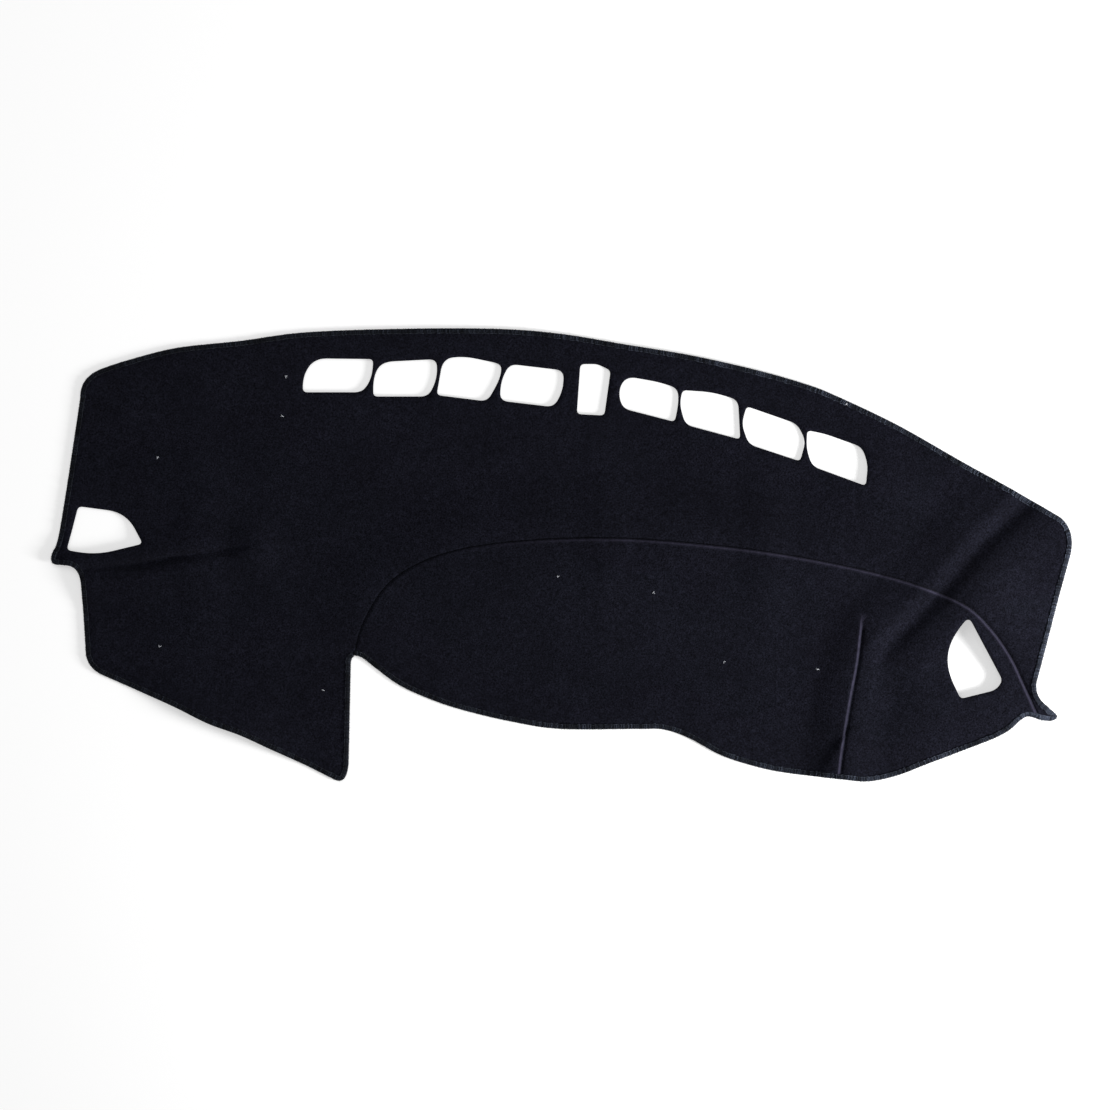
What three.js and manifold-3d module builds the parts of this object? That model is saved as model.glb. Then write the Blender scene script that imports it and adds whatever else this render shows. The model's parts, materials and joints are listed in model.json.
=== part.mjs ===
// Dashboard cover mat: a felt cover sewn from two panels, lying spread out with its pile side up.
//
// The main panel covers the top of the dashboard, with a row of windscreen outlets cut into it and a
// flap that hangs down in front. The hood panel is sewn to it along a long curved seam, and a dart in
// each panel gives it its shape. Every free edge is overlocked with thread, and each seam and dart has
// its allowance underneath, bound by the same thread.
//
// Millimetres. +X runs across the car, +Y towards the windscreen and +Z out of the pile side.
// The origin is under the middle of the outline, on the surface that the mat lies on.

import * as THREE from 'three';
import { mergeVertices } from 'three/addons/utils/BufferGeometryUtils.js';
import Module from 'manifold-3d';

const wasm = await Module();
wasm.setup();

// Overall size of the mat as it lies

const width = 1450;
const depth = 644;

// Felt, edge thread and seams

const feltThickness = 3.5;
const edgeBandWidth = 7;
const edgeBandRise = 0.4;
const edgeThreadThickness = 0.7;
const clearance = 0.3;
const seamAllowanceWidth = 7;
const seamAllowanceDepth = 3.6;
const seamGrooveDepth = 2.2;
const seamGrooveHalfWidth = 4;
const floorClearance = 0.2;

// Shares of a sewing line's length between which the cloth is drawn down into it

const seamGrooveStart = 0.014;
const seamGrooveEnd = 0.985;
const dartGrooveStart = 0.045;
const dartGrooveEnd = 0.98;

// How far the cloth stands up from the surface that it lies on

const hoodRise = 24;
const hoodReachInFront = 190;
const hoodReachBehind = 105;
const dartRise = 8;
const dartReach = 62;
const dartTipRise = 5;
const dartTipReach = 44;
const foldEndRise = 11;
const foldEndReach = 170;
const foldRamp = 62;
const foldBankRise = 6;
const foldBankOffset = 38;
const foldBankReach = 44;
const edgeCurlRise = 8;
const edgeCurlReach = 60;
const packingCreaseRise = 2.5;
const packingCreaseReach = 46;

// How these heights fade along their own lines, as shares of the height or of the line's length

const hoodCrestAtNotch = 0.6;
const foldFadeLength = 0.3;
const dartCrestAtTip = 0.4;
const dartFadeLength = 0.5;
const edgeCurlHalfLength = 0.42;

// Fineness of the model

const wideCell = 80;
const middleCell = 56;
const fineCell = 34;
const curveTolerance = 0.7;
const curveStep = 4;
const rimShift = 2;
const slabMargin = 20;
const prismReach = 80;
const sharpestSpread = 0.5;
const insetAllowance = 0.985;
const closestSpacing = 0.2;

// The plan is drawn 1450 units across and 644 deep, and stretches with the mat's width and depth

const across = width / 1450;
const deep = depth / 644;

// Places are given in these units from the left, right, front or back

const L = (x) => x * across;
const R = (x) => width - x * across;
const F = (y) => y * deep;
const B = (y) => depth - y * deep;

const point = ([x, y]) => new THREE.Vector2(x, y);
const spline = (places) => new THREE.SplineCurve(places.map(point));

// Sewing lines

const notchApex = [L(430), F(178)];
const tailSeamEnd = [R(46), F(88)];

const hoodSeam = spline([
  notchApex,
  [L(442), F(223)],
  [L(475), F(277)],
  [L(524), F(311)],
  [L(595), F(333)],
  [L(694), F(344)],
  [L(808), F(346)],
  [R(528), F(338)],
  [R(415), F(324)],
  [R(301), F(302)],
  [R(216), F(278)],
  [R(152), F(250)],
  [R(114), F(214)],
  [R(87), F(175)],
  [R(67), F(133)],
  tailSeamEnd,
]);

const hoodDart = spline([
  [R(331), F(4)],
  [R(328), F(34)],
  [R(321), F(79)],
  [R(313), F(125)],
  [R(305), F(170)],
  [R(299), F(227)],
]);

const leftDart = spline([
  [L(41), F(300)],
  [L(84), F(304)],
  [L(127), F(308)],
  [L(177), F(317)],
  [L(233), F(325)],
  [L(283), F(333)],
]);

// A line down the open notch between the flap and the hood

const wellInFront = F(-80);
const notchMiddle = [[L(440), wellInFront], [L(433), F(148)]];

const endFold = spline([
  [R(72), B(254)],
  [R(124), B(302)],
  [R(164), B(346)],
  [R(202), F(255)],
  [R(245), F(211)],
  [R(270), F(180)],
  [R(277), F(138)],
  [R(293), F(111)],
]);

const flapDiagonal = [
  [L(398), F(5)],
  [L(360), F(24)],
  [L(314), F(45)],
  [L(269), F(66)],
  [L(223), F(83)],
  [L(178), F(105)],
  [L(133), F(125)],
  [L(76), F(150)],
];

// Places of the shallow creases that packing left across the cloth

const packingCreases = [L(210), L(786), R(436)];
const packingCreaseMiddle = F(335);
const packingCreaseHalfLength = F(258);

// Outline of the whole mat, clockwise from the rear left corner

function drawOutline() {
  const path = new THREE.Path();
  const lineTo = (place) => path.lineTo(...place);
  const curveTo = (control, place) => path.quadraticCurveTo(...control, ...place);
  const throughTo = (places) => path.splineThru(places.map(point));

  const rearLeftEnd = [L(73), B(57)];
  path.moveTo(...rearLeftEnd);
  throughTo([
    [L(110), B(45)],
    [L(178), B(28)],
    [L(269), B(18)],
    [L(360), B(6)],
    [L(496), B(1)],
    [L(632), B(1)],
    [L(723), B(8)],
    [L(814), B(23)],
    [R(545), B(38)],
    [R(455), B(58)],
    [R(387), B(77)],
    [R(341), B(94)],
    [R(250), B(137)],
    [R(160), B(188)],
    [R(69), B(239)],
    [R(18), B(269)],
  ]);
  curveTo([R(-4), B(288)], [R(4), B(323)]);
  lineTo([R(50), F(150)]);
  curveTo([R(59), F(124)], [R(37), F(108)]);
  lineTo([R(32), F(103)]);
  curveTo([R(12), F(90)], [R(32), F(86)]);
  throughTo([
    tailSeamEnd,
    [R(63), F(93)],
    [R(74), F(88)],
    [R(91), F(73)],
    [R(114), F(61)],
    [R(160), F(43)],
    [R(205), F(26)],
    [R(250), F(9)],
    [R(290), F(1)],
    [R(330), F(4)],
    [R(409), F(13)],
    [R(455), F(23)],
    [R(500), F(38)],
    [R(545), F(62)],
    [R(580), F(74)],
    [L(836), F(75)],
    [L(723), F(75)],
    [L(655), F(85)],
    [L(587), F(101)],
    [L(541), F(116)],
    [L(496), F(136)],
    [L(462), F(160)],
    [L(445), F(174)],
  ]);
  curveTo([L(426), F(187)], [L(425), F(167)]);
  lineTo([L(422), F(28)]);
  curveTo([L(420), F(-9)], flapDiagonal[0]);
  throughTo(flapDiagonal.slice(1));
  curveTo([L(53), F(159)], [L(49), F(180)]);
  throughTo([
    [L(46), F(230)],
    [L(43), F(275)],
  ]);
  curveTo([L(42), F(305)], [L(23), F(307)]);
  lineTo([L(11), F(308)]);
  curveTo([L(-6), F(307)], [L(3), F(328)]);
  throughTo([
    [L(9), F(343)],
    [L(19), B(244)],
    [L(32), B(159)],
    [L(41), B(99)],
  ]);
  curveTo([L(40), B(69)], rearLeftEnd);
  return path;
}

// Windscreen outlets, from the left, each as corners with how far their rounding reaches

const wide = 26;
const medium = 17;
const slight = 11;
const tight = 6;
const roomForRounding = 0.98;

const windscreenOutlets = [
  [
    [L(374), B(43), medium],
    [L(457), B(44), tight],
    [L(455), B(72), medium],
    [L(441), B(91), slight],
    [L(357), B(91), tight],
    [L(357), B(67), medium],
  ],
  [
    [L(469), B(48), medium],
    [L(547), B(44), slight],
    [L(548), B(72), medium],
    [L(535), B(97), slight],
    [L(457), B(97), tight],
    [L(457), B(69), medium],
  ],
  [
    [L(556), B(43), medium],
    [L(587), B(40), medium],
    [L(639), B(51), slight],
    [L(638), B(70), medium],
    [L(619), B(104), slight],
    [L(547), B(95), tight],
  ],
  [
    [L(651), B(51), slight],
    [L(727), B(60), slight],
    [L(727), B(88), medium],
    [L(713), B(112), slight],
    [L(637), B(103), slight],
    [L(638), B(74), medium],
  ],
  [
    [L(751), B(51), tight],
    [L(775), B(51), tight],
    [L(794), B(60), tight],
    [L(785), B(124), tight],
    [L(746), B(122), tight],
  ],
  [
    [R(636), B(68), medium],
    [R(585), B(77), medium],
    [R(560), B(86), slight],
    [R(560), B(109), slight],
    [R(565), B(133), tight],
    [R(639), B(114), slight],
    [R(645), B(92), slight],
  ],
  [
    [R(554), B(88), tight],
    [R(511), B(91), medium],
    [R(475), B(102), slight],
    [R(472), B(158), tight],
    [R(550), B(137), slight],
    [R(558), B(108), slight],
  ],
  [
    [R(463), B(111), tight],
    [R(391), B(136), slight],
    [R(379), B(160), slight],
    [R(387), B(189), tight],
    [R(460), B(165), slight],
    [R(470), B(136), slight],
  ],
  [
    [R(377), B(145), tight],
    [R(352), B(150), slight],
    [R(299), B(169), slight],
    [R(291), B(194), slight],
    [R(294), B(224), tight],
    [R(370), B(196), slight],
    [R(378), B(171), slight],
  ],
];

const leftCornerOpening = [
  [L(38), F(391), tight],
  [L(106), F(382), wide],
  [L(130), F(338), tight],
  [L(64), F(322), wide],
  [L(22), F(329), tight],
];

const rightCornerOpening = [
  [R(150), F(235), slight],
  [R(101), F(145), tight],
  [R(108), F(131), slight],
  [R(160), F(118), tight],
  [R(181), F(162), wide],
  [R(176), F(202), wide],
];

function roundedLoop(corners) {
  const path = new THREE.Path();
  corners.forEach(([x, y, reach], i) => {
    const corner = new THREE.Vector2(x, y);
    const towards = (other) => {
      const side = point(other).sub(corner);
      const room = side.length() * roomForRounding * reach / (reach + other[2]);
      return side.setLength(Math.min(reach, room)).add(corner);
    };
    const before = towards(corners.at(i - 1));
    const after = towards(corners[(i + 1) % corners.length]);
    if (i === 0) {
      path.moveTo(before.x, before.y);
    } else {
      path.lineTo(before.x, before.y);
    }
    path.quadraticCurveTo(corner.x, corner.y, after.x, after.y);
  });
  return path;
}

// Flat curves as points

function distanceToSegment(place, start, end) {
  const along = end.clone().sub(start);
  const share = THREE.MathUtils.clamp(place.clone().sub(start).dot(along) / along.lengthSq(), 0, 1);
  return { share, distance: place.distanceTo(start.clone().addScaledVector(along, share)) };
}

function keepNeeded(points, tolerance) {
  const start = points[0];
  const end = points.at(-1);
  let farthest = 0;
  let widest = tolerance;
  for (let i = 1; i < points.length - 1; i += 1) {
    const { distance } = distanceToSegment(points[i], start, end);
    if (distance > widest) {
      widest = distance;
      farthest = i;
    }
  }
  if (farthest === 0) {
    return [start, end];
  }
  const before = keepNeeded(points.slice(0, farthest + 1), tolerance);
  const after = keepNeeded(points.slice(farthest), tolerance);
  return [...before.slice(0, -1), ...after];
}

function pointsOfCurve(curve) {
  const steps = Math.ceil(curve.getLength() / curveStep) + 1;
  return keepNeeded(curve.getPoints(steps), curveTolerance);
}

function pointsOfLoop(path) {
  const points = path.curves.flatMap((curve) => pointsOfCurve(curve).slice(0, -1));
  return THREE.ShapeUtils.isClockWise(points) ? points.reverse() : points;
}

function shiftedLine(points, offset) {
  return points.map((place, i) => {
    const before = points[Math.max(i - 1, 0)];
    const after = points[Math.min(i + 1, points.length - 1)];
    const leftwards = new THREE.Vector2(before.y - after.y, after.x - before.x);
    return place.clone().add(leftwards.setLength(offset));
  });
}

function insetLoop(points, inset) {
  const count = points.length;
  const shifted = points.map((place, i) => {
    const incoming = place.clone().sub(points.at(i - 1)).normalize();
    const outgoing = points[(i + 1) % count].clone().sub(place).normalize();
    const inward = new THREE.Vector2(-incoming.y - outgoing.y, incoming.x + outgoing.x).normalize();
    const spread = Math.max(-incoming.y * inward.x + incoming.x * inward.y, sharpestSpread);
    return place.clone().addScaledVector(inward, inset / spread);
  });
  const isClear = (place) => points.every((start, i) => {
    const { distance } = distanceToSegment(place, start, points[(i + 1) % count]);
    return distance > inset * insetAllowance;
  });
  return shifted
    .filter(isClear)
    .filter((place, i, kept) => place.distanceTo(kept.at(i - 1)) > inset * closestSpacing);
}

// Height of the cloth's underside over the surface that it lies on

function hill(distance, reach) {
  const share = Math.min(Math.abs(distance) / reach, 1);
  return (1 - share * share) ** 2;
}

function ramp(distance, reach) {
  const share = THREE.MathUtils.clamp(distance / reach, 0, 1);
  return share * share * (3 - 2 * share);
}

function measureFrom(points) {
  const lengths = points.slice(1).map((place, i) => place.distanceTo(points[i]));
  const total = lengths.reduce((sum, length) => sum + length, 0);
  return (x, y) => {
    const place = new THREE.Vector2(x, y);
    let nearest = { distance: Infinity };
    let travelled = 0;
    lengths.forEach((length, i) => {
      const found = distanceToSegment(place, points[i], points[i + 1]);
      if (found.distance < nearest.distance) {
        const along = points[i + 1].clone().sub(points[i]);
        const side = Math.sign(along.cross(place.clone().sub(points[i])));
        nearest = {
          distance: found.distance,
          offset: found.distance * side,
          share: (travelled + found.share * length) / total,
        };
      }
      travelled += length;
    });
    return nearest;
  };
}

const hoodSeamPoints = pointsOfCurve(hoodSeam);
const hoodDartPoints = pointsOfCurve(hoodDart);
const leftDartPoints = pointsOfCurve(leftDart);
const endFoldPoints = pointsOfCurve(endFold);

const fromHoodSeam = measureFrom(hoodSeamPoints);
const fromHoodDart = measureFrom(hoodDartPoints);
const fromLeftDart = measureFrom(leftDartPoints);
const fromEndFold = measureFrom(endFoldPoints);
const fromFlapDiagonal = measureFrom(pointsOfCurve(spline(flapDiagonal)));

function hoodLift(x, y) {
  const { offset, share } = fromHoodSeam(x, y);
  const evenness = hoodCrestAtNotch + (1 - hoodCrestAtNotch) * share;
  const crest = Math.sqrt(Math.sin(Math.PI * share)) * evenness;
  return hoodRise * crest * hill(offset, offset < 0 ? hoodReachInFront : hoodReachBehind);
}

function endFoldLift(x, y) {
  const { offset, share } = fromEndFold(x, y);
  const fade = ramp(1 - share, foldFadeLength);
  const end = offset > 0 ? foldEndRise * ramp(offset, foldRamp) * hill(offset, foldEndReach) : 0;
  const bank = offset < 0 ? foldBankRise * hill(offset + foldBankOffset, foldBankReach) : 0;
  return (end + bank) * fade;
}

function dartLift(measured) {
  const { distance, share } = measured;
  const crest = dartCrestAtTip + (1 - dartCrestAtTip) * ramp(1 - share, dartFadeLength);
  return dartRise * hill(distance, dartReach) * crest;
}

function dartTipLift(tip, x, y) {
  return dartTipRise * hill(Math.hypot(x - tip.x, y - tip.y), dartTipReach);
}

function edgeCurlLift(x, y) {
  const { distance, share } = fromFlapDiagonal(x, y);
  return edgeCurlRise * hill(share - 1 / 2, edgeCurlHalfLength) * hill(distance, edgeCurlReach);
}

function packingCreaseLift(x, y) {
  const window = hill(y - packingCreaseMiddle, packingCreaseHalfLength);
  const creases = packingCreases.map((place) => hill(x - place, packingCreaseReach));
  return packingCreaseRise * window * Math.max(...creases);
}

function liftAt(x, y) {
  return hoodLift(x, y)
    + endFoldLift(x, y)
    + dartLift(fromHoodDart(x, y))
    + dartLift(fromLeftDart(x, y))
    + dartTipLift(leftDartPoints.at(-1), x, y)
    + edgeCurlLift(x, y)
    + packingCreaseLift(x, y);
}

// Solids

function solidOf(geometry) {
  const bare = geometry.clone();
  bare.deleteAttribute('normal');
  bare.deleteAttribute('uv');
  const merged = mergeVertices(bare);
  return new wasm.Manifold(new wasm.Mesh({
    numProp: 3,
    vertProperties: new Float32Array(merged.attributes.position.array),
    triVerts: new Uint32Array(merged.index.array),
  }));
}

function prism(points) {
  const geometry = new THREE.ExtrudeGeometry(new THREE.Shape(points), {
    depth: prismReach * 2,
    bevelEnabled: false,
  });
  geometry.translate(0, 0, -prismReach);
  return solidOf(geometry);
}

function gridLines(stretches) {
  const lines = stretches.flatMap(([from, to, cell]) => {
    const count = Math.ceil((to - from) / cell);
    return Array.from({ length: count }, (_, i) => from + (to - from) * i / count);
  });
  return [...lines, stretches.at(-1)[1]];
}

const columnLines = gridLines([
  [-slabMargin, L(430), wideCell],
  [L(430), R(430), middleCell],
  [R(430), width + slabMargin, fineCell],
]);

const rowLines = gridLines([
  [-slabMargin, F(100), middleCell],
  [F(100), F(450), fineCell],
  [F(450), depth + slabMargin, wideCell],
]);

// A box's upper side has its diagonals the other way from its lower side. Turned, both fold alike

const upperSide = 4;
const cornersPerCell = 6;

function turnUpperDiagonals(geometry) {
  const { start, count } = geometry.groups[upperSide];
  const { array } = geometry.index;
  for (let i = start; i < start + count; i += cornersPerCell) {
    const [a, b, d, , c] = array.slice(i, i + cornersPerCell);
    array.set([a, b, c, a, c, d], i);
  }
}

function clothLayer(low, high, shift = 0) {
  const columns = columnLines.length - 1;
  const rows = rowLines.length - 1;
  const geometry = new THREE.BoxGeometry(columns, rows, 1, columns, rows, 1);
  geometry.translate(columns / 2, rows / 2, 0);
  turnUpperDiagonals(geometry);
  const places = geometry.attributes.position;
  for (let i = 0; i < places.count; i += 1) {
    const x = columnLines[Math.round(places.getX(i))] + shift;
    const y = rowLines[Math.round(places.getY(i))] + shift;
    const level = places.getZ(i) > 0 ? high : low;
    places.setXYZ(i, x, y, liftAt(x, y) + level);
  }
  return solidOf(geometry);
}

// A V-shaped cut along a sewing line, where the cloth turns down into the seam on both sides

function grooveAlong(curve, from, to) {
  const steps = Math.ceil(curve.getLength() * (to - from) / fineCell) + 1;
  const places = [];
  for (let i = 0; i <= steps; i += 1) {
    const { x, y } = curve.getPointAt(from + (to - from) * i / steps);
    places.push(new THREE.Vector3(x, y, liftAt(x, y) + feltThickness));
  }
  const above = seamGrooveDepth * 2;
  const halfWidth = seamGrooveHalfWidth * (1 + above / seamGrooveDepth);
  const section = new THREE.Shape([
    new THREE.Vector2(seamGrooveDepth, 0),
    new THREE.Vector2(-above, halfWidth),
    new THREE.Vector2(-above, -halfWidth),
  ]);
  return solidOf(new THREE.ExtrudeGeometry(section, {
    steps,
    extrudePath: new THREE.CatmullRomCurve3(places),
  }));
}

// Everything on the hood's side of a line that runs beside the hood seam

function hoodSide(offset) {
  const seam = shiftedLine(hoodSeamPoints, offset);
  const end = new THREE.Vector2(seam.at(-1).x, wellInFront);
  return prism([...notchMiddle.map(point), ...seam, end]);
}

const outline = pointsOfLoop(drawOutline());
const bandTop = feltThickness + edgeBandRise;
const pinchLow = edgeThreadThickness + clearance;
const pinchHigh = bandTop - pinchLow;

const bandInnerEdge = insetLoop(outline, edgeBandWidth);
const threadInnerEdge = insetLoop(outline, edgeThreadThickness);

const wholeFelt = prism(insetLoop(bandInnerEdge, clearance))
  .intersect(clothLayer(0, feltThickness))
  .add(prism(insetLoop(threadInnerEdge, clearance))
    .intersect(clothLayer(pinchLow, pinchHigh, rimShift)));

const wholeBand = prism(outline)
  .subtract(prism(bandInnerEdge))
  .intersect(clothLayer(0, bandTop))
  .subtract(prism(threadInnerEdge)
    .intersect(clothLayer(edgeThreadThickness, bandTop - edgeThreadThickness, rimShift)));

const behindSeam = hoodSide(clearance / 2);
const inFrontOfSeam = hoodSide(-clearance / 2);

const seamGroove = grooveAlong(hoodSeam, seamGrooveStart, seamGrooveEnd);
const hoodDartGroove = grooveAlong(hoodDart, dartGrooveStart, dartGrooveEnd);
const leftDartGroove = grooveAlong(leftDart, dartGrooveStart, dartGrooveEnd);

function makeMainPanel() {
  const openings = [...windscreenOutlets, leftCornerOpening]
    .map((corners) => prism(pointsOfLoop(roundedLoop(corners))));
  return openings
    .reduce((felt, opening) => felt.subtract(opening), wholeFelt)
    .subtract(behindSeam)
    .subtract(seamGroove)
    .subtract(leftDartGroove);
}

function makeHoodPanel() {
  return wholeFelt
    .intersect(inFrontOfSeam)
    .subtract(prism(pointsOfLoop(roundedLoop(rightCornerOpening))))
    .subtract(seamGroove)
    .subtract(hoodDartGroove);
}

// The thread-bound allowance that hangs under a seam or dart, down to the surface below at most

function makeBoundAllowance(points) {
  const strip = [
    ...shiftedLine(points, seamAllowanceWidth / 2),
    ...shiftedLine(points, -seamAllowanceWidth / 2).reverse(),
  ];
  const aboveFloor = new THREE.BoxGeometry(width * 2, depth * 2, prismReach);
  aboveFloor.translate(width / 2, depth / 2, prismReach / 2 + floorClearance);
  return prism(strip)
    .intersect(prism(threadInnerEdge))
    .intersect(clothLayer(-clearance - seamAllowanceDepth, -clearance))
    .intersect(solidOf(aboveFloor));
}

// Materials

const feltMaterial = new THREE.MeshStandardMaterial({
  color: new THREE.Color(0x17181f),
  roughness: 0.96,
  metalness: 0,
});

const threadMaterial = new THREE.MeshStandardMaterial({
  color: new THREE.Color(0x272a34),
  roughness: 0.8,
  metalness: 0,
});

function makeMesh(name, solid, material) {
  const { vertProperties, triVerts } = solid.getMesh();
  const geometry = new THREE.BufferGeometry();
  geometry.setAttribute('position', new THREE.BufferAttribute(new Float32Array(vertProperties), 3));
  geometry.setIndex(new THREE.BufferAttribute(new Uint32Array(triVerts), 1));
  geometry.computeVertexNormals();
  const mesh = new THREE.Mesh(geometry, material);
  mesh.name = name;
  return mesh;
}

const mat = new THREE.Group();
mat.add(makeMesh('main_panel', makeMainPanel(), feltMaterial));
mat.add(makeMesh('hood_panel', makeHoodPanel(), feltMaterial));
mat.add(makeMesh('main_edge_overlock', wholeBand.subtract(behindSeam), threadMaterial));
mat.add(makeMesh('hood_edge_overlock', wholeBand.intersect(inFrontOfSeam), threadMaterial));
mat.add(makeMesh('hood_seam_allowance', makeBoundAllowance(hoodSeamPoints), threadMaterial));
mat.add(makeMesh('hood_dart_allowance', makeBoundAllowance(hoodDartPoints), threadMaterial));
mat.add(makeMesh('left_dart_allowance', makeBoundAllowance(leftDartPoints), threadMaterial));

const extent = new THREE.Box2().setFromPoints(outline);
const middle = extent.getCenter(new THREE.Vector2());
mat.position.set(-middle.x, -middle.y, 0);

export default mat;
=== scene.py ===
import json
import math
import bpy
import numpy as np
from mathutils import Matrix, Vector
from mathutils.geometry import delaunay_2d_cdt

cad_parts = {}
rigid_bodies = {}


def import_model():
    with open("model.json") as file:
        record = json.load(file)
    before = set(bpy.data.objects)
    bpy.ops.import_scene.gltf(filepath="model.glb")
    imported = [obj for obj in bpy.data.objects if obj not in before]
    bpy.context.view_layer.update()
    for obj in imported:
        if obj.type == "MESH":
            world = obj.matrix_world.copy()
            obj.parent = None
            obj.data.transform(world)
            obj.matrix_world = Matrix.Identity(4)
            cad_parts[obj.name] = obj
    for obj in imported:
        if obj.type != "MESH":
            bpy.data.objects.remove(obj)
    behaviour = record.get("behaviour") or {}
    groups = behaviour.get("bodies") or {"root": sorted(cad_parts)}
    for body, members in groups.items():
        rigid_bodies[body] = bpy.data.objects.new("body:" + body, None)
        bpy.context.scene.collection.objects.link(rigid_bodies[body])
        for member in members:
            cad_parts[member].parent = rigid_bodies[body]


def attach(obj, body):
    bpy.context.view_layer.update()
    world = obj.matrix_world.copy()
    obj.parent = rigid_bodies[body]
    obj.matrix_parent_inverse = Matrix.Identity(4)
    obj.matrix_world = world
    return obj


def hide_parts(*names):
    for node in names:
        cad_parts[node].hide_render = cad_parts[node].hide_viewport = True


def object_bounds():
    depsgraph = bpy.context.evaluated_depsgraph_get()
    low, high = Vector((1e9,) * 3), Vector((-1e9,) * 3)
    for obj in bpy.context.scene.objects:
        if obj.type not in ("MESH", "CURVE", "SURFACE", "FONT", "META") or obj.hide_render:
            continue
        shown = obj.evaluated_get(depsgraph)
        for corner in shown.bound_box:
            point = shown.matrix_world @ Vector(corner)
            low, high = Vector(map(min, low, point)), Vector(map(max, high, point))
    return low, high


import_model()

# %% [markdown]
# # A dashboard cover mat
#
# This is a cover of black felt, cut and sewn to fit over a car's dashboard. It lies spread out with its
# soft side up. Two panels are sewn together along one long curve, so that the smaller one stands up over
# the instruments, and a dart takes a little cloth away in each panel. Every free edge is wrapped in
# overlock thread, while the holes for the air outlets are only cut.
#
# Cloth like this could be drawn with a cloth simulation, but a mat that lies still is quicker to describe
# with a plan and a height. So the plan is drawn as curves first, one function says how high the cloth
# stands at each place, and both panels are meshes made from the two.

box_at_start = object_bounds()
low_corner, high_corner = box_at_start
rng = np.random.default_rng(7)
MM = 0.001
print("room taken by the packed part, in metres:", [round(v, 4) for v in (high_corner - low_corner)])

# %% [markdown]
# ## Curves for the plan
#
# A pattern cutter draws with a few points and a smooth line through them. The same is done here: a curve
# through points is a Catmull-Rom spline, and a rounded corner is a short quadratic curve. Places are in
# millimetres from the left, right, front or back of the mat, because that is how one would measure it.

# %% Curve tools
WIDTH = 1450.0
DEPTH = 644.0


def L(x, y):
    """A place measured from the left end and the front."""
    return (x, y)


def R(x, y):
    """A place measured from the right end and the front."""
    return (WIDTH - x, y)


def LB(x, y):
    """A place measured from the left end and the back."""
    return (x, DEPTH - y)


def RB(x, y):
    """A place measured from the right end and the back."""
    return (WIDTH - x, DEPTH - y)


def through(points, steps=24):
    """A smooth line through the points."""
    p = np.array(points, float)
    padded = np.vstack([p[0], p, p[-1]])
    t = np.linspace(0, 1, steps, endpoint=False)[:, None]
    pieces = []
    for a, b, c, d in zip(padded, padded[1:], padded[2:], padded[3:]):
        leave, arrive = (c - a) / 2, (d - b) / 2
        pieces.append((2 * b - 2 * c + leave + arrive) * t**3
                      + (3 * c - 3 * b - 2 * leave - arrive) * t**2 + leave * t + b)
    return np.vstack(pieces + [p[-1:]])


def bend(start, control, end, steps=16):
    """A rounded corner from start to end, pulled towards control."""
    a, b, c = (np.array(v, float) for v in (start, control, end))
    t = np.linspace(0, 1, steps)[:, None]
    return (1 - t)**2 * a + 2 * t * (1 - t) * b + t**2 * c


def joined(*lines):
    """Lines laid end to end as one, without doubled points."""
    whole = np.vstack([np.array(line, float).reshape(-1, 2) for line in lines])
    keep = np.r_[True, np.linalg.norm(np.diff(whole, axis=0), axis=1) > 1e-6]
    return whole[keep]


def travelled(line):
    """How far along the line each of its points lies."""
    return np.r_[0, np.cumsum(np.linalg.norm(np.diff(line, axis=0), axis=1))]


def even(line, spacing):
    """The same line with points at an even spacing."""
    far = travelled(line)
    places = np.linspace(0, far[-1], max(int(round(far[-1] / spacing)), 2) + 1)
    return np.stack([np.interp(places, far, line[:, i]) for i in (0, 1)], axis=1)


def leftwards(line):
    """At each point, the direction to the left of travel."""
    ahead = np.gradient(line, axis=0)
    ahead /= np.linalg.norm(ahead, axis=1)[:, None]
    return np.stack([-ahead[:, 1], ahead[:, 0]], axis=1)


# %% [markdown]
# ## Where the mat is sewn and folded
#
# The long seam starts at the notch beside the flap and ends at the tail on the right. Each dart is a
# short seam that fades out inside its panel.

# %% Sewing lines and folds
notch_apex = L(430, 178)
tail_end = R(46, 88)
hood_seam = through([
    notch_apex, L(442, 223), L(475, 277), L(524, 311), L(595, 333), L(694, 344), L(808, 346), R(528, 338),
    R(415, 324), R(301, 302), R(216, 278), R(152, 250), R(114, 214), R(87, 175), R(67, 133), tail_end])
hood_dart = through([R(331, 4), R(328, 34), R(321, 79), R(313, 125), R(305, 170), R(299, 227)])
left_dart = through([L(41, 300), L(84, 304), L(127, 308), L(177, 317), L(233, 325), L(283, 333)])
end_fold = through([
    RB(72, 254), RB(124, 302), RB(164, 346), R(202, 255), R(245, 211), R(270, 180), R(277, 138), R(293, 111)])
flap_diagonal = through([
    L(398, 5), L(360, 24), L(314, 45), L(269, 66), L(223, 83), L(178, 105), L(133, 125), L(76, 150)])
hood_crease = through([L(884, 274), L(915, 268), L(950, 262), L(983, 258)])
print("the long seam is", round(travelled(hood_seam)[-1]), "mm long")

# %% [markdown]
# ## The outline
#
# The edge is drawn in two runs, one for each panel, both from one end of the long seam to the other. The
# main panel's run goes round the flap, the left end and the windscreen side. The hood's run is its front.

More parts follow.
